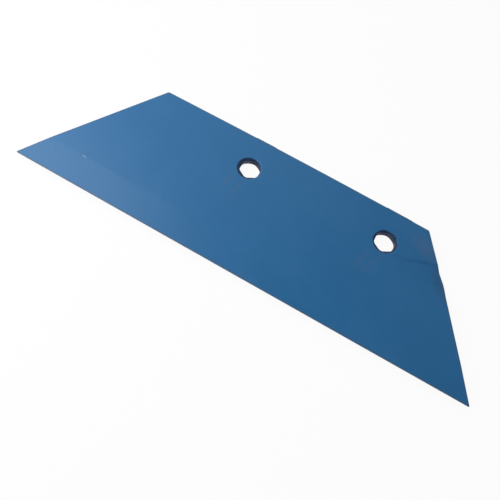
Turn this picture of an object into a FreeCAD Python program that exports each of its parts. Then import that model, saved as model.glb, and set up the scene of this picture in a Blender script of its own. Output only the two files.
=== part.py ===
# Plough share: one forged steel blade with a bevelled cutting edge, two bolt holes
# and a shallow hollow forged into the back corner at its heel.
#
# The blade lies flat on its underside. X runs along the cutting edge from the point to
# the heel, Y runs from the cutting edge to the back edge, and Z is up. The origin is at
# the centre of the blade's footprint, on the underside. All lengths are in millimetres.
import FreeCAD, Part
import os

import Sketcher

# ---------------------------------------------------------------- driving dimensions
SIZES = (
    ("edge_length", 500.0, "cutting edge, from point to heel"),
    ("blade_width", 148.0, "cutting edge to the middle of the back edge"),
    ("plate_thickness", 10.0, "rolled plate"),
    ("back_crown", 1.3, "how far the back edge bows out between its corners"),
    ("point_setback", 86.7, "back corner at the point end, measured along the edge"),
    ("heel_setback", 99.4, "back corner at the heel end, measured along the edge"),
    ("heel_knee_rise", 97.0, "height above the edge where the heel end changes angle"),
    ("heel_knee_proud", 1.3, "how far that knee stands out past a straight heel end"),
    ("corner_radius", 2.0, "the two back corners, seen from above"),
    ("arris_radius", 0.8, "rounding of the sheared arrises above and below"),
    ("top_bevel_width", 31.0, "sharpening bevel on the upper face"),
    ("top_bevel_drop", 2.0, "how far that bevel falls at the edge"),
    ("edge_land", 1.4, "thickness left at the cutting edge"),
    ("relief_width", 30.0, "relief bevel on the underside"),
    ("hole_diameter", 22.0, "bolt hole"),
    ("rim_diameter", 25.0, "countersunk rim of the bolt hole on the upper face"),
    ("rim_angle", 90.0, "included angle of that rim"),
    ("hole_rise", 110.0, "hole centres above the cutting edge"),
    ("hole_spacing", 158.0, "between the two hole centres"),
    ("pair_offset", 36.8, "middle of the two holes from the middle of the edge, to the heel"),
    ("hollow_length", 90.0, "run of the forged hollow, from the second hole outwards"),
    ("hollow_gap", 1.5, "plain metal left between the hole's rim and the hollow"),
    ("hollow_depth", 4.0, "fall of the hollow at the end of its run, past the heel"),
    ("ridge_rise", 101.0, "height above the edge where the hollow's ridge starts"),
    ("ridge_climb", 13.0, "how far the ridge climbs towards the back along its run"),
    ("ridge_wall", 3.0, "width of the short wall under the ridge"),
    ("floor_rise", 92.0, "height above the edge where the hollow's floor starts"),
    ("floor_spread", 37.0, "how far the floor spreads towards the edge along its run"),
    ("run_out", 0.3, "lift of the floor's level end, so that it fades into the face"),
)
SIZE = {name: value for name, value, meaning in SIZES}

# Where the cross-sections of the hollow stand, as shares of its run, and how deep each is
# as a share of hollow_depth. The first lies just above the face, so the hollow fades in.
HOLLOW_SECTIONS = (
    (0.0, -0.03),
    (0.2, 0.10),
    (0.5, 0.33),
    (0.75, 0.62),
    (1.0, 1.0),
)
HOLLOW_HEADROOM = 1.0   # the hollow's tool reaches this far above the upper face

doc = FreeCAD.newDocument("plough_share")

sheet = doc.addObject("Spreadsheet::Sheet", "Dimensions")
for row, (name, value, meaning) in enumerate(SIZES, start=1):
    sheet.set(f"A{row}", name)
    sheet.set(f"B{row}", str(value))
    sheet.set(f"C{row}", meaning)
    sheet.setAlias(f"B{row}", name)
doc.recompute()

body = doc.addObject("PartDesign::Body", "ShareBlade")
body.Label = "share_blade"


# ---------------------------------------------------------------- helpers
def cell(formula):
    """Turn a formula in plain size names into an expression on the sheet's cells."""
    for name in sorted(SIZE, key=len, reverse=True):
        formula = formula.replace(name, f"<<{name}>>")
    return formula.replace("<<", "Dimensions.").replace(">>", "")


def worth(formula):
    """The value of such a formula now, for the first guess that a sketch needs."""
    return float(sheet.evalExpression(cell(formula)))


def origin_plane(role):
    """One of the body's own origin planes, such as XY_Plane."""
    return next(item for item in body.Origin.OriginFeatures if item.Role == role)


def new_sketch(name, role, station="0"):
    """A sketch on an origin plane, or standing off it by a formula along its normal."""
    sketch = body.newObject("Sketcher::SketchObject", name)
    sketch.AttachmentSupport = [(origin_plane(role), "")]
    sketch.MapMode = "FlatFace"
    if station != "0":
        sketch.setExpression(".AttachmentOffset.Base.z", cell(station))
    return sketch


def bind(sketch, kind, references, name, formula):
    """Add a driving constraint whose value is a formula of the sheet."""
    index = sketch.addConstraint(Sketcher.Constraint(kind, *references, worth(formula)))
    sketch.renameConstraint(index, name)
    sketch.setExpression(f"Constraints.{name}", cell(formula))


def closed_profile(sketch, corners, arcs=None):
    """Draw a closed profile through named corners, each placed by two formulas.

    corners holds (name, across, up). arcs maps the name of the corner that a side starts
    from to the formula of its radius, and that side is an arc bulging to its right.
    """
    arcs = arcs or {}
    spots = [FreeCAD.Vector(worth(across), worth(up), 0) for name, across, up in corners]
    ends = []
    for index, (name, across, up) in enumerate(corners):
        start, end = spots[index], spots[(index + 1) % len(spots)]
        if name not in arcs:
            side = sketch.addGeometry(Part.LineSegment(start, end), False)
            ends.append((side, 1, 2))
            continue
        radius = worth(arcs[name])
        chord = end - start
        outward = FreeCAD.Vector(chord.y, -chord.x, 0).normalize()
        bulge = radius - (radius ** 2 - (chord.Length / 2) ** 2) ** 0.5
        crest = (start + end) / 2 + outward * bulge
        arc = Part.Arc(start, crest, end)
        side = sketch.addGeometry(arc, False)
        # a sketch keeps every arc anticlockwise, so the start may be its second end
        first_end = sketch.getPoint(side, 1)
        ends.append((side, 1, 2) if (first_end - start).Length < 1e-6 else (side, 2, 1))
    for index, (name, across, up) in enumerate(corners):
        side, first, last = ends[index]
        next_side, next_first, next_last = ends[(index + 1) % len(ends)]
        sketch.addConstraint(Sketcher.Constraint("Coincident", side, last, next_side, next_first))
    for index, (name, across, up) in enumerate(corners):
        side, first, last = ends[index]
        bind(sketch, "DistanceX", (-1, 1, side, first), f"{name}_across", across)
        bind(sketch, "DistanceY", (-1, 1, side, first), f"{name}_up", up)
        if name in arcs:
            bind(sketch, "Radius", (side,), f"{name}_radius", arcs[name])


def edges_where(shape, test):
    """Names of the edges whose middle point passes a test."""
    found = []
    for number, edge in enumerate(shape.Edges, start=1):
        first, last = edge.ParameterRange
        if test(edge, edge.valueAt((first + last) / 2)):
            found.append(f"Edge{number}")
    return found


def must_remove(feature, before, what):
    """A cut that points away from the solid leaves it whole, so its volume is compared."""
    doc.recompute()
    removed = before - body.Shape.Volume
    print(f"{what}: removed {removed:.0f} cubic mm")
    if removed <= 0:
        raise RuntimeError(f"{what} cut nothing")


# ---------------------------------------------------------------- plate
outline = new_sketch("Outline", "XY_Plane")
heel_slope = "(heel_setback / (blade_width - back_crown))"
closed_profile(
    outline,
    (
        ("point", "-edge_length / 2", "-blade_width / 2"),
        ("heel", "edge_length / 2", "-blade_width / 2"),
        (
            "knee",
            f"edge_length / 2 - heel_knee_rise * {heel_slope} + heel_knee_proud",
            "-blade_width / 2 + heel_knee_rise",
        ),
        ("heel_back", "edge_length / 2 - heel_setback", "blade_width / 2 - back_crown"),
        ("point_back", "-edge_length / 2 + point_setback", "blade_width / 2 - back_crown"),
    ),
    arcs={
        "heel_back": "((edge_length - point_setback - heel_setback) ^ 2 / 4 + back_crown ^ 2)"
        " / (2 * back_crown)",
    },
)
plate = body.newObject("PartDesign::Pad", "Plate")
plate.Profile = outline
plate.setExpression("Length", cell("plate_thickness"))
doc.recompute()

back_line = SIZE["blade_width"] / 2 - SIZE["back_crown"]
corners = body.newObject("PartDesign::Fillet", "BackCorners")
corners.Base = (plate, edges_where(
    plate.Shape,
    lambda edge, middle: abs(edge.tangentAt(edge.FirstParameter).z) > 0.99
    and abs(middle.y - back_line) < 1e-3,
))
corners.setExpression("Radius", cell("corner_radius"))
doc.recompute()

front_line = -SIZE["blade_width"] / 2
arrises = body.newObject("PartDesign::Fillet", "ShearedArrises")
arrises.Base = (corners, edges_where(
    corners.Shape,
    lambda edge, middle: abs(edge.tangentAt(edge.FirstParameter).z) < 0.01
    and middle.y > front_line + 1e-3,
))
arrises.setExpression("Radius", cell("arris_radius"))
doc.recompute()

# ---------------------------------------------------------------- cutting edge
front = "-blade_width / 2"
lip_top = "plate_thickness - top_bevel_drop"
lip_bottom = "plate_thickness - top_bevel_drop - edge_land"
for name, shoulder, height, lip in (
    ("TopBevel", "top_bevel_width", "plate_thickness", lip_top),
    ("UndersideRelief", "relief_width", "0", lip_bottom),
):
    volume = body.Shape.Volume
    wedge = new_sketch(f"{name}Section", "YZ_Plane")
    closed_profile(wedge, (
        ("shoulder", f"{front} + {shoulder}", height),
        ("lip", front, lip),
        ("front", front, height),
    ))
    bevel = body.newObject("PartDesign::Pocket", name)
    bevel.Profile = wedge
    bevel.Type = "ThroughAll"
    bevel.SideType = "Symmetric"
    must_remove(bevel, volume, name)

# ---------------------------------------------------------------- bolt holes
volume = body.Shape.Volume
seat = new_sketch("HoleCentre", "XY_Plane", "plate_thickness")
first_hole = "pair_offset - hole_spacing / 2"
hole_line = f"{front} + hole_rise"
middle = FreeCAD.Vector(worth(first_hole), worth(hole_line), 0)
circle = Part.Circle(middle, FreeCAD.Vector(0, 0, 1), SIZE["hole_diameter"] / 2)
ring = seat.addGeometry(circle, False)
bind(seat, "DistanceX", (-1, 1, ring, 3), "along", first_hole)
bind(seat, "DistanceY", (-1, 1, ring, 3), "rise", hole_line)
bind(seat, "Radius", (ring,), "bore", "hole_diameter / 2")
doc.recompute()

hole = body.newObject("PartDesign::Hole", "BoltHole")
hole.Profile = seat
hole.ThreadType = "None"
hole.DepthType = "ThroughAll"
hole.HoleCutType = "Countersink"
hole.HoleCutCustomValues = True
hole.setExpression("Diameter", cell("hole_diameter"))
hole.setExpression("HoleCutDiameter", cell("rim_diameter"))
hole.setExpression("HoleCutCountersinkAngle", cell("rim_angle"))
must_remove(hole, volume, "first bolt hole")

volume = body.Shape.Volume
pair = body.newObject("PartDesign::LinearPattern", "HolePair")
pair.Originals = [hole]
pair.Direction = (seat, ["H_Axis"])
pair.Mode = "Extent"
pair.Occurrences = 2
pair.setExpression("Length", cell("hole_spacing"))
body.Tip = pair
must_remove(pair, volume, "second bolt hole")

# ---------------------------------------------------------------- forged hollow
# A shallow hollow starts beside the second hole and runs out through the heel end. Its
# upper side is a short wall under a ridge that climbs towards the back. Its floor is an
# arc that leaves the face level and falls towards the ridge. Each cross-section of it is
# the same profile, and it deepens and widens from one to the next.
volume = body.Shape.Volume
hollow_start = "pair_offset + hole_spacing / 2 + rim_diameter / 2 + hollow_gap"
sections = []
for number, (along, depth) in enumerate(HOLLOW_SECTIONS, start=1):
    eased = 1 - (1 - along) ** 2
    section = new_sketch(f"HollowSection{number}", "YZ_Plane",
                         f"{hollow_start} + {along} * hollow_length")
    level = "(plate_thickness + run_out)"
    roof = f"plate_thickness + {HOLLOW_HEADROOM}"
    ridge = f"({front} + ridge_rise + {eased:.4f} * ridge_climb)"
    floor_end = f"({front} + floor_rise - {eased:.4f} * floor_spread)"
    reach = f"({ridge} - ridge_wall - {floor_end})"
    fall = f"({depth} * hollow_depth + run_out)"
    closed_profile(
        section,
        (
            ("floor_end", floor_end, level),
            ("foot", f"{ridge} - ridge_wall", f"plate_thickness - {depth} * hollow_depth"),
            ("ridge", ridge, roof),
            ("roof", floor_end, roof),
        ),
        arcs={"floor_end": f"({reach} ^ 2 + {fall} ^ 2) / (2 * {fall})"},
    )
    sections.append(section)
hollow = body.newObject("PartDesign::SubtractiveLoft", "ForgedHollow")
hollow.Profile = sections[0]
hollow.Sections = sections[1:]
hollow.Ruled = False
must_remove(hollow, volume, "forged hollow")

# ---------------------------------------------------------------- check and write
for item in doc.Objects:
    if "Invalid" in item.State or "Error" in item.State:
        raise RuntimeError(f"{item.Name} did not build: {item.State}")
blade = body.Shape
if blade.isNull() or not blade.isValid() or len(blade.Solids) != 1:
    raise RuntimeError("the blade is not one valid solid")

os.makedirs("parts", exist_ok=True)
blade.exportStep(f"parts/{body.Label}.step")
box = blade.optimalBoundingBox(False)
print(f"{body.Label}: {box.XLength:.2f} x {box.YLength:.2f} x {box.ZLength:.2f} mm, "
      f"{blade.Volume / 1000:.1f} cubic cm, {len(blade.Faces)} faces")
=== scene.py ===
# %% [markdown]
# # A plough share, from the frame to the finished paint
#
# A plough share is the blade at the bottom of a plough that cuts the furrow slice loose.
# It is one piece of steel plate, sheared to a trapezoid, ground to a bevel along its
# cutting edge, punched for two bolts, and forged down a little at its heel. Then it is
# sprayed blue. This lesson builds it in Blender around a frame that already holds its
# true size, and paints it with procedural materials only.
#
# The first cell loads that frame. Everything that follows takes its size from the frame's
# box, so nothing has to be fitted by eye.

# %% Load the frame
import math

import bmesh
import bpy
from mathutils import Matrix, Vector, noise


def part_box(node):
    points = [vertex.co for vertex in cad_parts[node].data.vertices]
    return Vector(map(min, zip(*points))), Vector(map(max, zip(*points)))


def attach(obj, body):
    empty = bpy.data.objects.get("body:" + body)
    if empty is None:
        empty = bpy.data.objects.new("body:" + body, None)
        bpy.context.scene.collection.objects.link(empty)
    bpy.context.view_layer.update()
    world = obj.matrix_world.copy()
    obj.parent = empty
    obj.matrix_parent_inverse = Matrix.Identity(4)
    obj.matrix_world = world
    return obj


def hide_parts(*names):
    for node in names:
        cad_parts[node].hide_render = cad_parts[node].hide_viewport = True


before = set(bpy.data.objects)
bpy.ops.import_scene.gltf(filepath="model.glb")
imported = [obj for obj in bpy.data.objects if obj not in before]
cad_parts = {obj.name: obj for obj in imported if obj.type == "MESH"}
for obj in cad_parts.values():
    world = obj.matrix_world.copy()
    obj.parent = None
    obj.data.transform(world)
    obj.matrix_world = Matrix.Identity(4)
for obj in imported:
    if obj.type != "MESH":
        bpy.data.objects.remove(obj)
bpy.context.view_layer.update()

low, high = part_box("share_blade")
MM = 0.001
LENGTH, WIDTH, THICK = ((high - low) / MM)
print(f"the frame's blade is {LENGTH:.1f} x {WIDTH:.1f} x {THICK:.1f} mm")

# %% [markdown]
# ## The outline
#
# On the real share the ends are sheared straight across the plate at a slant, and the
# back edge is left as it was rolled, with a slight bow. Work is easiest in the maker's own
# measures: `along` runs in millimetres from the point to the heel, `up` from the cutting
# edge to the back, and `height` from the underside to the face. The finished mesh is
# scaled to metres and moved onto the frame in one go at the end.
#
# Two small functions say where a row of the blade starts and stops at any `up`. They are
# used for the sheet, for the forging and for the wear along the edges, so the three
# always agree.

# %% Where the two ends stand
BACK_CROWN = 1.3        # the back edge bows out by this much
BACK = WIDTH - BACK_CROWN
POINT_SETBACK = 86.7    # slant of the point end
HEEL_SETBACK = 99.0     # slant of the heel end
KNEE_RISE = 97.0        # the heel end changes angle here
KNEE_PROUD = 1.3        # and stands out this far
SWELL, SWELL_SPAN = 1.9, 11.0   # forging pushed the steel out around that knee


def point_end(up):
    """Where a row starts, at the point end."""
    return POINT_SETBACK * up / BACK


def heel_end(up):
    """Where a row stops, at the heel end."""
    bulge = up / KNEE_RISE if up < KNEE_RISE else (BACK - up) / (BACK - KNEE_RISE)
    swell = SWELL * math.exp(-((up - KNEE_RISE) / SWELL_SPAN) ** 2)
    return LENGTH - HEEL_SETBACK * up / BACK + KNEE_PROUD * bulge + swell


def share_of_row(along, up):
    """How far along its row a place lies, from 0 at the point end to 1 at the heel."""
    return (along - point_end(up)) / (heel_end(up) - point_end(up))


print(f"the back edge runs from {point_end(BACK):.1f} to {heel_end(BACK):.1f} mm")

# %% [markdown]
# ## The sheet
#
# A flat polygon would be quick, but it could not be forged afterwards, because it has no
# points inside. A grid could be stretched over the outline, but then its rows would be
# evenly spaced. So the sheet is drawn out row by row: one long edge is divided into
# columns, and `extrude_edge_only` pulls it from the cutting edge to the back. The rows
# stand closer where the shape turns, which is at the bevel's crease and under the ridge
# of the forged corner.

# %% Pull the sheet out, row by row
COLUMNS = 230
CREASE = 31.0           # where the sharpening bevel meets the face
ROW_STEPS = (           # (from, to, spacing) of the rows, from the cutting edge back
    (0.0, 1.2, 1.2),
    (1.2, CREASE - 2.0, 2.3),
    (CREASE - 2.0, CREASE + 2.0, 0.8),
    (CREASE + 2.0, 70.0, 2.3),
    (70.0, 118.0, 1.4),
    (118.0, BACK - 1.3, 2.3),
    (BACK - 1.3, BACK, 1.3),
)


def row_heights():
    """Every row's height above the cutting edge."""
    heights = [0.0]
    for start, stop, spacing in ROW_STEPS:
        count = max(1, round((stop - start) / spacing))
        heights += [start + (stop - start) * step / count for step in range(1, count + 1)]
    return heights


blade = bmesh.new()
first = blade.edges.new((blade.verts.new((0, 0, THICK)), blade.verts.new((LENGTH, 0, THICK))))
bmesh.ops.subdivide_edges(blade, edges=[first], cuts=COLUMNS - 1)
row_edges = blade.edges[:]
for up in row_heights()[1:]:
    made = bmesh.ops.extrude_edge_only(blade, edges=row_edges)["geom"]
    row = sorted((v for v in made if isinstance(v, bmesh.types.BMVert)), key=lambda v: v.co.x)
    for column, vert in enumerate(row):
        share = column / COLUMNS
        bow = BACK_CROWN * (1 - (2 * share - 1) ** 2) * (up / BACK) ** 3
        along = point_end(up) + share * (heel_end(up) - point_end(up))
        vert.co = (along, up + bow, THICK)
    new = set(row)
    row_edges = [e for vert in row for e in vert.link_edges if e.other_vert(vert) in new]
    row_edges = list(dict.fromkeys(row_edges))
print(f"the sheet has {len(row_heights())} rows and {len(blade.faces)} faces")

# %% [markdown]
# ## Room for the bolt holes
#
# The holes are round and the sheet's mesh is square, so each hole gets a piece of mesh of
# its own: first a patch is taken out of the sheet around it, and later a round sleeve is
# drawn into the gap. The patch follows the sheet's own columns, so its border stays clean
# even near the slanted heel.

# %% Take a patch out around each hole
HOLE_RISE = 110.0
HOLE_SPACING = 158.0
PAIR_OFFSET = 36.8      # the middle of the pair stands this far past mid-blade
PAIR_MIDDLE = LENGTH / 2 + PAIR_OFFSET
HOLES = [Vector((PAIR_MIDDLE + side * HOLE_SPACING / 2, HOLE_RISE, 0)) for side in (-1, 1)]
PATCH_ALONG, PATCH_UP = 21.0, 20.0


def in_patch(place, hole, slack=0.0):
    """Whether a place lies in the slanted patch around a hole."""
    row_length = heel_end(hole.y) - point_end(hole.y)
    off = abs(share_of_row(place.x, place.y) - share_of_row(hole.x, hole.y)) * row_length
    return off < PATCH_ALONG + slack and abs(place.y - hole.y) < PATCH_UP + slack


for hole in HOLES:
    patch = [f for f in blade.faces if in_patch(f.calc_center_median(), hole)]
    bmesh.ops.delete(blade, geom=patch, context="FACES")
    print(f"hole at {hole.x:.1f}, {hole.y:.1f}: took out {len(patch)} faces")

# %% [markdown]
# ## Thickness
#
# Extruding the whole sheet gives the plate its second face and its walls in one step.
# `extrude_face_region` keeps the old faces here, because nothing lies beside them. The
# walls that it draws inside the two patches aren't wanted, since the sleeves bring their
# own, so they are deleted again.

# %% Give the plate its thickness
made = bmesh.ops.extrude_face_region(blade, geom=blade.faces[:])["geom"]
under = [v for v in made if isinstance(v, bmesh.types.BMVert)]
bmesh.ops.translate(blade, verts=under, vec=(0, 0, -THICK))
blade.normal_update()


def is_wall(face):
    return abs(face.normal.z) < 0.5


inner = [f for f in blade.faces if is_wall(f)
         and any(in_patch(f.calc_center_median(), hole, 3.0) for hole in HOLES)]
bmesh.ops.delete(blade, geom=inner, context="FACES")
print(f"{len(inner)} inner wall faces removed")

# %% [markdown]
# ## The bolt holes
#
# A bolt hole in such a plate is punched hot, and its rim is opened a little for the bolt's
# head. The punch leaves a bore with six faint flats that opens out towards the underside.
# The sheet's mesh is square and the hole is round, and joining two separate rings could
# twist. So the hole is drawn like a sleeve from the gap's own border: each
# `extrude_edge_only` makes the next ring, which moves to its radius and height. The first
# rings turn the gap's shape into a circle, the next go over the rim and down the wall, and
# the last return to the gap's border on the underside, where they are welded on.

# %% Draw a sleeve through each hole
FLANGE = 17.0           # outer radius of the round part of the face
PUNCH_FLAT = 0.93       # the flats of the punched bore lie this much nearer its axis
PUNCH_SHIFT = (Vector((1.1, 0.8)), Vector((0.1, 0.6)))   # and the punch was a little off
SLEEVE = (              # (roundness, radius, height, punched), from the face to the underside
    (0.4, FLANGE, THICK, 0.0),
    (0.75, FLANGE, THICK, 0.0),
    (1.0, FLANGE, THICK, 0.0),
    (1.0, 15.0, THICK, 0.0),
    (1.0, 13.6, THICK - 0.02, 0.0),
    (1.0, 13.0, THICK - 0.10, 0.0),
    (1.0, 12.5, THICK - 0.32, 0.1),
    (1.0, 11.85, THICK - 0.9, 0.5),
    (1.0, 11.35, THICK - 1.5, 0.9),
    (1.0, 11.15, THICK - 2.2, 1.0),
    (1.0, 11.15, THICK - 3.6, 1.0),
    (1.0, 11.25, THICK - 5.2, 0.9),
    (1.0, 11.4, THICK - 6.8, 0.7),
    (1.0, 11.5, THICK - 8.2, 0.5),
    (1.0, 11.6, 0.8, 0.4),
    (1.0, 11.8, 0.25, 0.3),
    (1.0, 12.3, 0.0, 0.1),
    (1.0, 14.0, 0.0, 0.0),
    (1.0, FLANGE, 0.0, 0.0),
    (0.75, FLANGE, 0.0, 0.0),
    (0.4, FLANGE, 0.0, 0.0),
    (0.0, FLANGE, 0.0, 0.0),
)


def six_sided(arm):
    """Radius of a six-sided bore in a direction, as a share, with flats towards the ends."""
    side = math.tau / 6
    off = (math.atan2(arm.y, arm.x) + side / 2) % side - side / 2
    return min(1.0, PUNCH_FLAT / math.cos(off))


def bearing(vert, hole):
    """Direction of a point seen from the hole's axis."""
    return math.atan2(vert.co.y - hole.y, vert.co.x - hole.x)


for hole, shift in zip(HOLES, PUNCH_SHIFT):
    ring = [e for e in blade.edges if e.is_boundary and e.verts[0].co.z > THICK / 2
            and in_patch((e.verts[0].co + e.verts[1].co) / 2, hole, 1.5)]
    verts = sorted({v for e in ring for v in e.verts}, key=lambda v: bearing(v, hole))
    turn = math.tau / len(verts)
    starts = [bearing(vert, hole) - index * turn for index, vert in enumerate(verts)]
    start = sum(starts) / len(verts)
    border = [vert.co.xy - hole.xy for vert in verts]
    circle = [Vector((math.cos(start + index * turn), math.sin(start + index * turn)))
              for index in range(len(verts))]
    for roundness, radius, height, punched in SLEEVE:
        made = bmesh.ops.extrude_edge_only(blade, edges=ring)["geom"]
        new = {v for v in made if isinstance(v, bmesh.types.BMVert)}
        verts = [next(e.other_vert(v) for e in v.link_edges if e.other_vert(v) in new)
                 for v in verts]
        for spot, arm, vert in zip(border, circle, verts):
            reach = radius * (1 - punched * (1 - six_sided(arm)))
            place = hole.xy + spot.lerp(arm * reach + shift * punched, roundness)
            vert.co = (place.x, place.y, height)
        ring = [e for e in made if isinstance(e, bmesh.types.BMEdge) and new.issuperset(e.verts)]
    print(f"hole at {hole.x:.1f}: a sleeve of {len(SLEEVE)} rings with {len(ring)} edges")
bmesh.ops.remove_doubles(blade, verts=blade.verts, dist=0.001)
print(sum(e.is_boundary for e in blade.edges), "open edges")

# %% [markdown]
# ## Sheared walls and soft arrises
#
# A sheared plate has walls that a hand can feel: an arris that is rounded by the shot
# blasting and the paint, a smooth band where the blade of the shears entered, and a
# rougher, slightly undercut band where the steel tore. The walls are divided into four
# bands with `subdivide_edges`, and `bevel` rounds both arrises while the plate is still
# flat, where that operator is at its most reliable.

# %% Divide the walls and round the arrises
ARRIS = 0.8
blade.normal_update()


def near_hole(place):
    """Whether a place is near a sleeve.

    Known fault: this reach also takes in the back wall beside each hole, which therefore
    stays undivided there and keeps sharp arrises.
    """
    return any((place.xy - hole.xy).length < 40.0 for hole in HOLES)


uprights = []
for edge in blade.edges:
    a, b = (v.co for v in edge.verts)
    if abs(a.z - b.z) > THICK / 2 and not near_hole(a):
        uprights.append(edge)
bmesh.ops.subdivide_edges(blade, edges=uprights, cuts=3)
blade.normal_update()
arrises = [e for e in blade.edges if len(e.link_faces) == 2 and not near_hole(e.verts[0].co)
           and is_wall(e.link_faces[0]) != is_wall(e.link_faces[1])]
bmesh.ops.bevel(
    blade, geom=arrises, offset=ARRIS, offset_type="OFFSET", segments=3, profile=0.5,
    affect="EDGES", clamp_overlap=True, material=-1,
)
print(f"rounded {len(arrises)} arris edges, {len(blade.faces)} faces now")

# %% [markdown]
# ## Forging
#
# A smith shapes a share by pressing it, and the mesh is shaped the same way. Two
# functions give the height of the face and of the underside at any place, and every
# point of the flat plate slides to its share of the way between them. The bevel, the
# relief under the edge, the hollow in the heel corner and the slight unevenness of rolled
# plate are all terms of those two functions. A real crease is never knife sharp under
# paint, so `soft_ramp` rounds it, a little more towards the heel.
#
# The hollow's depth has two terms. The bowl is deepest at the heel edge, where the hammer
# bent the corner down. The step is a low wall that runs on beside the bolt hole.

# %% Heights of the face and the underside
BEVEL_DROP = 2.0        # the bevel falls this far at the cutting edge
EDGE_LAND = 1.4         # thickness left there
RELIEF = 30.0           # width of the relief under the edge
HOLLOW_START = HOLES[1].x + 8.0
HOLLOW_DEPTH, HOLLOW_FADE = 2.5, 19.0   # depth at the heel edge, and how fast it fades inwards
RIDGE_RISE, RIDGE_LEAN = 103.2, 0.09    # where the ridge starts, and its steady slope
RIDGE_CLIMB, CLIMB_START, CLIMB_RUN = 8.5, 14.0, 32.0   # on top of that, one soft step
WALL_WIDTH, WALL_FLARE, FLARE_RUN = 3.2, 6.0, 12.0      # the wall is wider at the heel edge
RIDGE_STEP, STEP_REACH, STEP_RUN = 0.35, 7.0, 14.0      # least height of that wall
FLOOR_RISE, FLOOR_SPREAD = 96.0, 20.0   # below this the floor climbs back to the face
LIP_SHARE, LIP_WIDTH = 0.8, 3.0         # the last of the floor at the heel edge is levelled
CREASE_SHARP, CREASE_DULL = 0.25, 0.6   # rounding of the crease at the point and the heel


def smooth(value):
    """A soft step from 0 to 1."""
    value = min(1.0, max(0.0, value))
    return value * value * (3 - 2 * value)


def soft_ramp(distance, softness):
    """The distance where it is positive, else 0, with the corner rounded off."""
    if distance / softness > 30:
        return distance
    return softness * math.log1p(math.exp(distance / softness))


def ridge_line(along):
    """Height above the edge of the hollow's ridge."""
    past = along - HOLLOW_START
    return RIDGE_RISE + RIDGE_LEAN * past + RIDGE_CLIMB * smooth((past - CLIMB_START) / CLIMB_RUN)


def hollow(along, up):
    """How far the forged hollow lies under the face."""
    below = ridge_line(along) - up
    if along < HOLLOW_START or below <= 0:
        return 0.0
    inward = max(0.0, heel_end(up) - along)
    bowl = HOLLOW_DEPTH * math.exp(-inward / HOLLOW_FADE)
    bowl *= smooth((up - FLOOR_RISE + FLOOR_SPREAD) / FLOOR_SPREAD)
    bowl *= smooth(inward / LIP_WIDTH + LIP_SHARE)
    step = RIDGE_STEP * math.exp(-below / STEP_REACH)
    step *= smooth((along - HOLLOW_START) / STEP_RUN)
    wall = WALL_WIDTH + WALL_FLARE * math.exp(-inward / FLARE_RUN)
    return (bowl + step) * smooth(below / wall)


def ripple(place, size, seed):
    """Smooth unevenness from -1 to 1 with bumps about as large as size."""
    return noise.noise(Vector((place.x / size, place.y / size, seed)))


def face_height(place):
    softness = CREASE_SHARP + (CREASE_DULL - CREASE_SHARP) * smooth(place.x / LENGTH)
    bevel = BEVEL_DROP * soft_ramp(CREASE - place.y, softness) / CREASE
    rolled = 0.06 + 0.05 * ripple(place, 38.0, 1.0) + 0.012 * ripple(place, 9.0, 2.0)
    return THICK - bevel - rolled - hollow(place.x, place.y)


def under_height(place):
    relief = THICK - BEVEL_DROP - EDGE_LAND
    rolled = max(0.0, 0.05 + 0.07 * ripple(place, 45.0, 5.0) + 0.02 * ripple(place, 10.0, 6.0))
    return relief * soft_ramp(RELIEF - place.y, 0.5) / RELIEF + rolled


mid_edge = Vector((LENGTH / 2, 0, 0))
print(f"edge thickness {face_height(mid_edge) - under_height(mid_edge):.2f} mm")

# %% [markdown]
# The walls are roughened before the heights are set: the torn lower band moves inwards by
# up to half a millimetre. The four corners are eased with `smooth_vert`, which is what
# a grinder and the paint do to them. Then each point takes its new height.

# %% Rough walls, eased corners, and the forging itself
TEAR = 0.45             # how far the torn band is undercut
CORNER_EASE = 1.3


def gaps(place):
    """Distances to the point end, the heel end, the cutting edge and the back edge."""
    point_slope = math.cos(math.atan(POINT_SETBACK / BACK))
    heel_slope = math.cos(math.atan(HEEL_SETBACK / BACK))
    share = min(1.0, max(0.0, share_of_row(place.x, place.y)))
    crown = BACK_CROWN * (1 - (2 * share - 1) ** 2)
    return (
        (place.x - point_end(place.y)) * point_slope,
        (heel_end(place.y) - place.x) * heel_slope,
        place.y,
        BACK + crown - place.y,
    )


INWARD = (
    Vector((BACK, -POINT_SETBACK, 0)).normalized(),
    Vector((-BACK, -HEEL_SETBACK, 0)).normalized(),
    Vector((0, 1, 0)),
    Vector((0, -1, 0)),
)
for vert in blade.verts:
    place = vert.co.copy()
    for side, gap in enumerate(gaps(place)):
        if side == 2 or gap > 0.05 or not 0.5 < place.z < THICK - 0.5:
            continue
        torn = smooth((0.62 * THICK - place.z) / 2.0)
        rough = 0.5 + 0.5 * noise.noise(Vector((place.x / 3.0, place.y / 3.0, place.z / 2.0)))
        bite = TEAR * torn * (0.35 + 0.65 * rough) + 0.08 * rough
        vert.co += INWARD[side] * bite

corners = [Vector((point_end(0), 0)), Vector((heel_end(0), 0)),
           Vector((point_end(BACK), BACK)), Vector((heel_end(BACK), BACK))]
for corner in corners:
    close = [v for v in blade.verts if (v.co.xy - corner).length < CORNER_EASE]
    for turn in range(2):
        bmesh.ops.smooth_vert(blade, verts=close, factor=0.35, use_axis_x=True, use_axis_y=True)

for vert in blade.verts:
    share = vert.co.z / THICK
    bottom, top = under_height(vert.co), face_height(vert.co)
    vert.co.z = bottom + share * (top - bottom)
print(f"forged {len(blade.verts)} points")

# %% [markdown]
# ## From the bench to the frame
#
# Now the blade is a closed shell. Extruding can leave some faces turned inwards, so the
# doubles are merged and the normals recalculated. Three numbers per point are stored on the
# way, because the paint needs them, all in millimetres: `arris_gap` is the distance to the
# nearest arris, `ridge_gap` the height above the forged ridge, and `hollow_depth` how deep
# the hollow is there. Then the mesh is scaled to metres and moved onto the frame, and its
# object stays at the origin.

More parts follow.
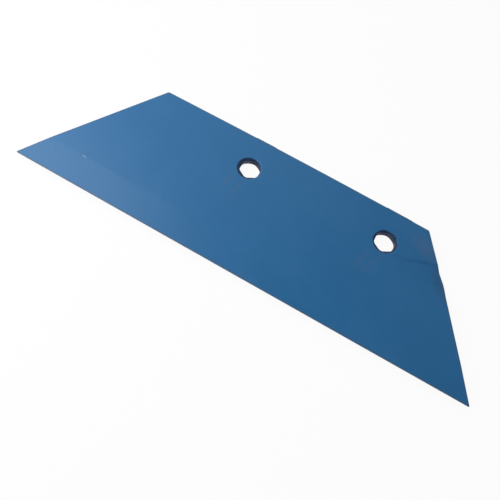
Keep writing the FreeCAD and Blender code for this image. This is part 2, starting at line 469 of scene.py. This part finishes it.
# %% Make the blade's object
FACE, BORE, UNDER = range(3)
RIM_EDGE = 12.75        # the dark finish starts inside this radius,
SKIN_ABOVE, SKIN_BELOW = 0.12, 0.1      # this deep under the face and above the underside
bmesh.ops.remove_doubles(blade, verts=blade.verts, dist=0.001)
bmesh.ops.recalc_face_normals(blade, faces=blade.faces)
layers = {name: blade.verts.layers.float.new(name)
          for name in ("arris_gap", "ridge_gap", "hollow_depth")}
for vert in blade.verts:
    from_face = abs(face_height(vert.co) - vert.co.z)
    from_under = abs(vert.co.z - under_height(vert.co))
    vert[layers["arris_gap"]] = max(0.0, min(gaps(vert.co))) + min(from_face, from_under)
    past_hole = max(0.0, HOLLOW_START + 4.0 - vert.co.x)
    vert[layers["ridge_gap"]] = vert.co.y - ridge_line(vert.co.x) - past_hole
    vert[layers["hollow_depth"]] = hollow(vert.co.x, vert.co.y)
blade.normal_update()
for face in blade.faces:
    face.smooth = True
    face.material_index = FACE
    centre = face.calc_center_median()
    bore = min((centre.xy - hole.xy).length for hole in HOLES)
    if bore < RIM_EDGE and SKIN_BELOW < centre.z < THICK - SKIN_ABOVE:
        face.material_index = BORE
    elif face.normal.z < -0.6:
        face.material_index = UNDER
open_edges = sum(1 for e in blade.edges if len(e.link_faces) != 2)
bmesh.ops.scale(blade, verts=blade.verts, vec=(MM, MM, MM))
bmesh.ops.translate(blade, verts=blade.verts, vec=low)
mesh = bpy.data.meshes.new("painted_share")
blade.to_mesh(mesh)
volume = blade.calc_volume(signed=True)
blade.free()
mesh.set_sharp_from_angle(angle=math.radians(50))
share = bpy.data.objects.new("painted_share", mesh)
bpy.context.scene.collection.objects.link(share)
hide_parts("share_blade")
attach(share, "root")
print(f"{len(mesh.polygons)} faces, {open_edges} open edges, {volume * 1e6:.1f} cubic cm")

# %% [markdown]
# ## Tools for the paint
#
# Materials are node trees, and they are easier to read when the script has a few verbs
# for them. `Tree` adds nodes and joins them. A socket or a plain number can be given
# wherever a value is asked for.

# %% A small tool for node trees
class Tree:
    """Adds and joins nodes in a material or a group."""

    def __init__(self, nodes, links):
        self.nodes, self.links = nodes, links

    def add(self, kind, **settings):
        made = self.nodes.new(kind)
        for name, value in settings.items():
            setattr(made, name, value)
        return made

    def put(self, socket, value):
        """Join a socket to another, or write a plain value into it."""
        if isinstance(value, bpy.types.NodeSocket):
            self.links.new(value, socket)
        else:
            socket.default_value = value

    def maths(self, operation, *values, clamp=False):
        made = self.add("ShaderNodeMath", operation=operation, use_clamp=clamp)
        for socket, value in zip(made.inputs, values):
            self.put(socket, value)
        return made.outputs[0]

    def vector(self, operation, *values):
        made = self.add("ShaderNodeVectorMath", operation=operation)
        for socket, value in zip(made.inputs, values):
            self.put(socket, value)
        return made.outputs["Value" if operation == "LENGTH" else "Vector"]

    def step(self, value, start, stop):
        """0 at start and 1 at stop, with a soft step between them."""
        made = self.add("ShaderNodeMapRange", interpolation_type="SMOOTHSTEP")
        for name, given in (("Value", value), ("From Min", start), ("From Max", stop)):
            self.put(made.inputs[name], given)
        return made.outputs["Result"]

    def noise(self, place, scale, detail=2.0, roughness=0.5):
        made = self.add("ShaderNodeTexNoise")
        for name, given in (("Vector", place), ("Scale", scale), ("Detail", detail),
                            ("Roughness", roughness)):
            self.put(made.inputs[name], given)
        return made.outputs["Fac"]

    def mix(self, share, first, second):
        """One colour over another."""
        made = self.add("ShaderNodeMix", data_type="RGBA")
        for index, value in ((0, share), (6, first), (7, second)):
            self.put(made.inputs[index], value)
        return made.outputs[2]


def new_group(name, inputs, outputs):
    """A node group with named sockets. Returns its tree, its inputs and its output node."""
    group = bpy.data.node_groups.new(name, "ShaderNodeTree")
    for label, kind, value in inputs:
        socket = group.interface.new_socket(label, in_out="INPUT", socket_type=kind)
        socket.default_value = value
    for label, kind in outputs:
        group.interface.new_socket(label, in_out="OUTPUT", socket_type=kind)
    tree = Tree(group.nodes, group.links)
    return group, tree, tree.add("NodeGroupInput").outputs, tree.add("NodeGroupOutput").inputs


NUMBER, VECTOR = "NodeSocketFloat", "NodeSocketVector"
print("node tools ready")

# %% [markdown]
# ## What paint does on steel
#
# Sprayed paint isn't smooth. It has orange peel, a fine waviness two or three millimetres
# across, and nibs of dust that dried into it. Its colour drifts a little where the coat is
# thicker. It is rubbed through along the arrises, and rust or dirt bleeds from holes in
# streaks. Each of these is a node group with its own named sockets, because the face, the
# bores and the underside all use them, in different strengths. Every pattern reads a
# `Place` in the bench's millimetres, so a size in a group is a real size.

# %% Film: the surface of the coat
film, tree, given, gives = new_group(
    "Paint film",
    (("Place", VECTOR, (0, 0, 0)), ("Peel size", NUMBER, 3.0), ("Peel", NUMBER, 0.6),
     ("Nibs", NUMBER, 0.3), ("Scratches", NUMBER, 0.2)),
    (("Height", NUMBER), ("Nib mask", NUMBER)),
)
peel = tree.noise(given["Place"], tree.maths("DIVIDE", 1.0, given["Peel size"]), 2.0, 0.45)
fine = tree.noise(given["Place"], 1.4, 3.0, 0.6)
cells = tree.add("ShaderNodeTexVoronoi")
tree.put(cells.inputs["Vector"], given["Place"])
tree.put(cells.inputs["Scale"], 0.22)
tree.put(cells.inputs["Randomness"], 1.0)
nib = tree.step(cells.outputs["Distance"], 0.13, 0.04)
stretched = tree.add("ShaderNodeMapping", vector_type="POINT")
tree.put(stretched.inputs["Vector"], given["Place"])
stretched.inputs["Rotation"].default_value = (0, 0, math.radians(27))
stretched.inputs["Scale"].default_value = (0.035, 1.3, 1.0)
scratch = tree.step(tree.noise(stretched.outputs["Vector"], 1.0, 3.0, 0.7), 0.66, 0.74)
total = tree.maths("MULTIPLY", peel, given["Peel"])
total = tree.maths("ADD", total, tree.maths("MULTIPLY", fine, 0.18))
total = tree.maths("ADD", total, tree.maths("MULTIPLY", nib, given["Nibs"]))
total = tree.maths("SUBTRACT", total, tree.maths("MULTIPLY", scratch, given["Scratches"]))
tree.put(gives["Height"], total)
tree.put(gives["Nib mask"], nib)
print("group ready:", film.name)

# %% [markdown]
# A coat is never one tone. It is thicker where the passes of the gun overlap, so the next
# group lets the tone swing slowly over the blade and marks the dustier blotches.

# %% Drift: slow change of tone
drift, tree, given, gives = new_group(
    "Coat drift",
    (("Place", VECTOR, (0, 0, 0)), ("Size", NUMBER, 40.0), ("Strength", NUMBER, 0.1)),
    (("Tone", NUMBER), ("Blotch", NUMBER)),
)
slow = tree.noise(given["Place"], tree.maths("DIVIDE", 1.0, given["Size"]), 4.0, 0.6)
quick = tree.noise(given["Place"], tree.maths("DIVIDE", 6.0, given["Size"]), 3.0, 0.6)
both = tree.maths("ADD", tree.maths("MULTIPLY", slow, 0.65), tree.maths("MULTIPLY", quick, 0.35))
swing = tree.maths("MULTIPLY", tree.maths("SUBTRACT", both, 0.5), given["Strength"])
tree.put(gives["Tone"], tree.maths("ADD", 1.0, swing))
tree.put(gives["Blotch"], tree.step(both, 0.42, 0.66))
print("group ready:", drift.name)

# %% [markdown]
# Handling rubs an arris first. The stored distance to it, made ragged by a noise, gives a
# narrow worn line and a wider thin one, and no edge has to be painted by hand.

# %% Rub: where the coat is worn through along an arris
rub, tree, given, gives = new_group(
    "Arris rub",
    (("Place", VECTOR, (0, 0, 0)), ("Gap", NUMBER, 5.0), ("Reach", NUMBER, 0.8),
     ("Raggedness", NUMBER, 1.0)),
    (("Worn", NUMBER), ("Thin", NUMBER)),
)
ragged = tree.maths("SUBTRACT", tree.noise(given["Place"], 0.35, 4.0, 0.65), 0.5)
gap = tree.maths("ADD", given["Gap"], tree.maths("MULTIPLY", ragged, given["Raggedness"]))
inner_reach = tree.maths("MULTIPLY", given["Reach"], 0.35)
tree.put(gives["Worn"], tree.step(gap, given["Reach"], inner_reach))
tree.put(gives["Thin"], tree.step(gap, tree.maths("MULTIPLY", given["Reach"], 3.0), 0.0))
print("group ready:", rub.name)

# %% [markdown]
# Runs, tints, rust, chips, painted shade and a painted highlight are all soft ovals with a
# ragged rim. One group makes them, and its centre, radii and lean place each of them in
# millimetres.

# %% Patch: a soft oval anywhere on the blade
patch_group, tree, given, gives = new_group(
    "Soft patch",
    (("Place", VECTOR, (0, 0, 0)), ("Centre", VECTOR, (0, 0, 0)), ("Radii", VECTOR, (10, 10, 50)),
     ("Lean", NUMBER, 0.0), ("Raggedness", NUMBER, 0.3)),
    (("Mask", NUMBER),),
)
off = tree.vector("SUBTRACT", given["Place"], given["Centre"])
parts = tree.add("ShaderNodeSeparateXYZ")
tree.put(parts.inputs[0], off)
leaned = tree.add("ShaderNodeCombineXYZ")
tree.put(leaned.inputs[0], tree.maths("SUBTRACT", parts.outputs[0],
                                      tree.maths("MULTIPLY", parts.outputs[1], given["Lean"])))
tree.put(leaned.inputs[1], parts.outputs[1])
tree.put(leaned.inputs[2], parts.outputs[2])
reach = tree.vector("LENGTH", tree.vector("DIVIDE", leaned.outputs[0], given["Radii"]))
ragged = tree.maths("SUBTRACT", tree.noise(given["Place"], 0.3, 4.0, 0.6), 0.5)
reach = tree.maths("ADD", reach, tree.maths("MULTIPLY", ragged, given["Raggedness"]))
tree.put(gives["Mask"], tree.step(reach, 1.0, 0.35))
print("groups:", ", ".join(group.name for group in bpy.data.node_groups))

# %% [markdown]
# ## The finishes
#
# All three finishes start alike: `Place` comes from the object's own coordinates through a
# Mapping node that turns metres on the frame into millimetres on the bench. Then each
# finish lays its coats over each other, from the base colour to the last stain, as a
# painter would.

# %% Common start of a finish
def stored(tree, name):
    """A number that the mesh carries at each point."""
    return tree.add("ShaderNodeAttribute", attribute_name=name).outputs["Fac"]


def new_finish(name):
    """A material with its tree, its shader, the place in bench millimetres and the arris gap."""
    material = bpy.data.materials.new(name)
    material.use_nodes = True
    tree = Tree(material.node_tree.nodes, material.node_tree.links)
    shader = tree.nodes["Principled BSDF"]
    coordinates = tree.add("ShaderNodeTexCoord")
    place = tree.add("ShaderNodeMapping", vector_type="POINT")
    tree.put(place.inputs["Vector"], coordinates.outputs["Object"])
    place.inputs["Location"].default_value = -low / MM
    place.inputs["Scale"].default_value = (1 / MM, 1 / MM, 1 / MM)
    return material, tree, shader, place.outputs["Vector"], stored(tree, "arris_gap")


def use(tree, group, **values):
    """Place a group and fill its inputs, whose names are written with _ for a space."""
    made = tree.add("ShaderNodeGroup", node_tree=group)
    for name, value in values.items():
        tree.put(made.inputs[name.replace("_", " ")], value)
    return made.outputs


def bump(tree, height, distance):
    made = tree.add("ShaderNodeBump")
    made.inputs["Distance"].default_value = distance
    tree.put(made.inputs["Height"], height)
    return made.outputs["Normal"]


def rgb(red, green, blue):
    """A colour given as it looks on a screen, from 0 to 255, as the shader wants it."""
    def linear(value):
        value /= 255
        return value / 12.92 if value <= 0.04045 else ((value + 0.055) / 1.055) ** 2.4
    return (linear(red), linear(green), linear(blue), 1.0)


BLUE = rgb(13, 94, 145)
BLUE_DUSTY = rgb(52, 104, 148)
GREY_BROWN = rgb(86, 84, 84)
EDGE_GREY = rgb(62, 76, 92)
RUST = rgb(96, 62, 52)
DARK_SCALE = rgb(14, 28, 48)
print("base blue", [round(value, 3) for value in BLUE])

# %% [markdown]
# The face has the full coat. Over its blue lie the dusty blotches, the runs below the holes,
# the tint of the heel corner, painted shade under the ridge, a darker coat and painted shade
# in the hollow at the heel edge, a painted highlight over chipped paint at the crease's point
# end, and the rubbed arrises.

# %% The face: semi-gloss blue paint
material_face, tree, shader, place, gap = new_finish("blue_paint_face")
coat = use(tree, film, Place=place, Peel_size=3.2, Peel=0.6, Nibs=0.2, Scratches=0.2)
tone = use(tree, drift, Place=place, Size=45.0, Strength=0.16)
worn = use(tree, rub, Place=place, Gap=gap, Reach=0.75, Raggedness=0.9)
colour = tree.add("ShaderNodeVectorMath", operation="SCALE")
colour.inputs[0].default_value = BLUE[:3]
tree.put(colour.inputs["Scale"], tone["Tone"])
colour = tree.mix(tree.maths("MULTIPLY", tone["Blotch"], 0.10), colour.outputs[0], BLUE_DUSTY)
STAINS_AND_PAINTED_LIGHT = (              # (centre, radii, lean, raggedness, colour, strength)
    ((196.0, 86.0, 10), (3.5, 17.0, 30), 0.15, 0.9, GREY_BROWN, 0.12),
    ((208.0, 81.0, 10), (3.0, 18.0, 30), 0.0, 0.9, GREY_BROWN, 0.12),
    ((352.0, 79.0, 10), (4.0, 18.0, 30), 0.37, 0.9, GREY_BROWN, 0.12),
    ((362.5, 80.0, 10), (4.0, 17.0, 30), 0.37, 0.9, GREY_BROWN, 0.12),
    ((405.0, 126.0, 10), (20.0, 15.0, 30), -0.6, 1.8, rgb(82, 88, 116), 0.24),
    # darker in the hollow along the heel edge: partly a darker coat, partly painted shade
    ((436.0, 96.0, 10), (15.0, 23.0, 30), -0.69, 0.5, rgb(22, 60, 96), 0.30),
    # a light line at the crease's point end: partly chipped paint, partly a painted highlight
    ((60.0, 30.7, 10), (3.0, 0.8, 30), 0.0, 0.4, rgb(150, 165, 180), 0.5),
)
for centre, radii, lean, raggedness, stain_or_painted_light, strength in STAINS_AND_PAINTED_LIGHT:
    mask = use(tree, patch_group, Place=place, Centre=centre, Radii=radii, Lean=lean,
               Raggedness=raggedness)["Mask"]
    colour = tree.mix(tree.maths("MULTIPLY", mask, strength), colour, stain_or_painted_light)
# painted shade: a dark band along the wall under the ridge, inside the hollow
off_wall = tree.maths("ABSOLUTE", tree.maths("ADD", stored(tree, "ridge_gap"), 2.0))
painted_ridge_shade = tree.step(off_wall, 4.0, 0.3)      # painted shade lies along the wall, 2 mm under the ridge
painted_ridge_shade = tree.maths("MULTIPLY", painted_ridge_shade, tree.step(stored(tree, "hollow_depth"), 0.0, 0.25))
colour = tree.mix(tree.maths("MULTIPLY", painted_ridge_shade, 0.17), colour, rgb(20, 52, 86))
dust = use(tree, patch_group, Place=place, Centre=(55.0, 14.0, 10), Radii=(75.0, 24.0, 30),
           Lean=0.5, Raggedness=0.5)["Mask"]
dusty = tree.maths("ADD", 0.06, tree.maths("MULTIPLY", dust, 0.2))
dots = tree.maths("MULTIPLY", coat["Nib mask"], dusty)
colour = tree.mix(dots, colour, rgb(150, 160, 178))
colour = tree.mix(tree.maths("MULTIPLY", worn["Thin"], 0.40), colour, EDGE_GREY)
colour = tree.mix(tree.maths("MULTIPLY", worn["Worn"], 0.60), colour, EDGE_GREY)
tree.put(shader.inputs["Base Color"], colour)
gloss = tree.maths("ADD", 0.37, tree.maths("MULTIPLY", tone["Blotch"], 0.07))
gloss = tree.maths("ADD", gloss, tree.maths("MULTIPLY", worn["Worn"], 0.15), clamp=True)
tree.put(shader.inputs["Roughness"], gloss)
shader.inputs["Specular IOR Level"].default_value = 0.48
tree.put(shader.inputs["Normal"], bump(tree, coat["Height"], 0.00005))
print(f"{material_face.name}: {len(STAINS_AND_PAINTED_LIGHT)} stains")

# %% [markdown]
# Spray hardly reaches into a bolt hole. Its wall keeps dark mill scale under a thin mist
# of blue, and the hole at the heel has some rust on the side where water stood.

# %% The bores: thin dark paint, scale and rust
material_bore, tree, shader, place, gap = new_finish("bolt_hole_wall")
coat = use(tree, film, Place=place, Peel_size=1.6, Peel=1.0, Nibs=0.5, Scratches=0.4)
tone = use(tree, drift, Place=place, Size=9.0, Strength=0.6)
colour = tree.add("ShaderNodeVectorMath", operation="SCALE")
colour.inputs[0].default_value = rgb(12, 44, 84)[:3]
tree.put(colour.inputs["Scale"], tone["Tone"])
colour = tree.mix(tree.maths("MULTIPLY", tone["Blotch"], 0.6), colour.outputs[0], DARK_SCALE)
for hole, rust_side in zip(HOLES, (-0.4, 0.95)):
    spot = (hole.x + 11 * rust_side, hole.y + 1.0, 5.0)
    rusty = use(tree, patch_group, Place=place, Centre=spot, Radii=(4.0, 6.5, 6.0),
                Lean=0.0, Raggedness=0.8)["Mask"]
    colour = tree.mix(tree.maths("MULTIPLY", rusty, 0.8 if rust_side > 0 else 0.35), colour, RUST)
tree.put(shader.inputs["Base Color"], colour)
gloss = tree.maths("ADD", 0.5, tree.maths("MULTIPLY", tone["Blotch"], 0.25))
tree.put(shader.inputs["Roughness"], gloss)
shader.inputs["Specular IOR Level"].default_value = 0.35
tree.put(shader.inputs["Normal"], bump(tree, coat["Height"], 0.00018))
print(f"{material_bore.name}: rust in {len(HOLES)} bores")

# %% [markdown]
# Nobody takes care over the underside. It gets a thinner coat with a coarser skin, more
# nibs and scratches, and arrises that are rubbed wider by the surface that it lies on.

# %% The underside: the same blue, thinner, scuffed where it rests
material_under, tree, shader, place, gap = new_finish("blue_paint_underside")
coat = use(tree, film, Place=place, Peel_size=4.5, Peel=0.9, Nibs=0.6, Scratches=0.8)
tone = use(tree, drift, Place=place, Size=60.0, Strength=0.35)
worn = use(tree, rub, Place=place, Gap=gap, Reach=1.4, Raggedness=2.4)
colour = tree.add("ShaderNodeVectorMath", operation="SCALE")
colour.inputs[0].default_value = rgb(32, 88, 132)[:3]
tree.put(colour.inputs["Scale"], tone["Tone"])
blotch = tree.maths("MULTIPLY", tone["Blotch"], 0.30)
colour = tree.mix(blotch, colour.outputs[0], rgb(52, 84, 112))
colour = tree.mix(tree.maths("MULTIPLY", coat["Nib mask"], 0.35), colour, DARK_SCALE)
colour = tree.mix(tree.maths("MULTIPLY", worn["Worn"], 0.6), colour, GREY_BROWN)
tree.put(shader.inputs["Base Color"], colour)
gloss = tree.maths("ADD", 0.48, tree.maths("MULTIPLY", tone["Blotch"], 0.15))
tree.put(shader.inputs["Roughness"], gloss)
shader.inputs["Specular IOR Level"].default_value = 0.35
tree.put(shader.inputs["Normal"], bump(tree, coat["Height"], 0.0001))

for material in (material_face, material_bore, material_under):
    mesh.materials.append(material)
print("finishes:", ", ".join(material.name for material in mesh.materials))

# %% [markdown]
# ## The room
#
# Such a part is shown on a white sweep: a floor that curves up into a wall, so that no line
# stands behind it. Here it is a disc whose rim is extruded upwards. Its
# material shows the camera and the reflections nearly pure white through Light Path,
# while the plain diffuse share of it still catches the soft shadow of the blade. No extra
# light falls on the part for that.

# %% Floor and sweep
SWEEP = ((1.6, 0.0), (1.9, 0.06), (2.1, 0.26), (2.2, 0.6), (2.25, 1.1))   # (radius, height)
sweep = bmesh.new()
bmesh.ops.create_circle(sweep, cap_ends=True, radius=1.3, segments=96)
rim = [e for e in sweep.edges if e.is_boundary]
for radius, height in SWEEP:
    made = bmesh.ops.extrude_edge_only(sweep, edges=rim)["geom"]
    ring = [v for v in made if isinstance(v, bmesh.types.BMVert)]
    for vert in ring:
        vert.co = vert.co.xy.normalized().to_3d() * radius + Vector((0, 0, height))
    rim = [e for e in made if isinstance(e, bmesh.types.BMEdge) and e.is_boundary
           and all(v in ring for v in e.verts)]
bmesh.ops.recalc_face_normals(sweep, faces=sweep.faces)
for face in sweep.faces:
    face.smooth = True
floor_mesh = bpy.data.meshes.new("studio_floor")
sweep.to_mesh(floor_mesh)
sweep.free()
floor = bpy.data.objects.new("studio_floor", floor_mesh)
bpy.context.scene.collection.objects.link(floor)

WHITE_SHARE = 0.93
material_floor = bpy.data.materials.new("white_sweep")
material_floor.use_nodes = True
tree = Tree(material_floor.node_tree.nodes, material_floor.node_tree.links)
tree.nodes.clear()
matt = tree.add("ShaderNodeBsdfDiffuse")
matt.inputs["Color"].default_value = (0.8, 0.8, 0.8, 1)
glow = tree.add("ShaderNodeEmission")
glow.inputs["Strength"].default_value = 1.0
ray = tree.add("ShaderNodeLightPath").outputs
seen = tree.maths("ADD", ray["Is Camera Ray"], ray["Is Glossy Ray"])
seen = tree.maths("ADD", seen, ray["Is Transmission Ray"], clamp=True)
blend = tree.add("ShaderNodeMixShader")
tree.put(blend.inputs[0], tree.maths("MULTIPLY", seen, WHITE_SHARE))
tree.put(blend.inputs[1], matt.outputs[0])
tree.put(blend.inputs[2], glow.outputs[0])
tree.put(tree.add("ShaderNodeOutputMaterial").inputs["Surface"], blend.outputs[0])
floor_mesh.materials.append(material_floor)
print("floor and sweep ready")

# %% [markdown]
# ## Light
#
# One large soft lamp stands at the upper left, near enough for the point end to be
# brighter than the heel. A weaker one stands behind, and the world fills the rest. The
# strengths are chosen so that the middle of the blade gets a plain level, at which
# a colour comes out as it is written.

# %% Lamps and world
def lamp(name, place, aim, size, power):
    data = bpy.data.lights.new(name, "AREA")
    data.shape, data.size, data.energy = "DISK", size, power
    made = bpy.data.objects.new(name, data)
    made.location = place
    made.rotation_euler = (Vector(aim) - Vector(place)).to_track_quat("-Z", "Y").to_euler()
    made.visible_camera = False
    bpy.context.scene.collection.objects.link(made)


lamp("key", (-0.48, -0.157, 0.42), (-0.05, 0.0, 0.0), 0.80, 4.3)
lamp("back", (-0.60, 1.087, 0.922), (0.05, 0.0, 0.0), 1.6, 3.85)
WORLD_LEVEL = 0.44
world = bpy.data.worlds.new("soft_room")
world.use_nodes = True
world.node_tree.nodes["Background"].inputs["Color"].default_value = (1, 1, 1, 1)
world.node_tree.nodes["Background"].inputs["Strength"].default_value = WORLD_LEVEL
bpy.context.scene.world = world
bpy.context.scene.view_settings.view_transform = "Standard"
print("lamps ready")

# %% [markdown]
# ## Camera
#
# The camera looks down on the blade from above the cutting edge, quite near, which is why
# the point looks larger than the heel's back corner. It is placed in plain terms: what it
# aims at, how far away it is, from which side and how high, and how far
# it is tipped.

# %% Camera
AIM = Vector((0.0034, -0.0447, 0.010))
DISTANCE = 0.5411
HEADING, ELEVATION, TIP = 14.571, 65.687, 15.803   # degrees
LENS = 40.04
heading, elevation = math.radians(HEADING), math.radians(ELEVATION)
look = Vector((-math.sin(heading) * math.cos(elevation), math.cos(heading) * math.cos(elevation),
               -math.sin(elevation)))
turn = look.to_track_quat("-Z", "Y").to_matrix() @ Matrix.Rotation(math.radians(TIP), 3, "Z")
camera_data = bpy.data.cameras.new("camera")
camera_data.lens, camera_data.sensor_width = LENS, 36.0
camera_data.clip_start = 0.01
camera = bpy.data.objects.new("camera", camera_data)
camera.matrix_world = Matrix.Translation(AIM - look * DISTANCE) @ turn.to_4x4()
bpy.context.scene.collection.objects.link(camera)
bpy.context.scene.camera = camera
print("camera at", [round(value, 4) for value in camera.matrix_world.translation])
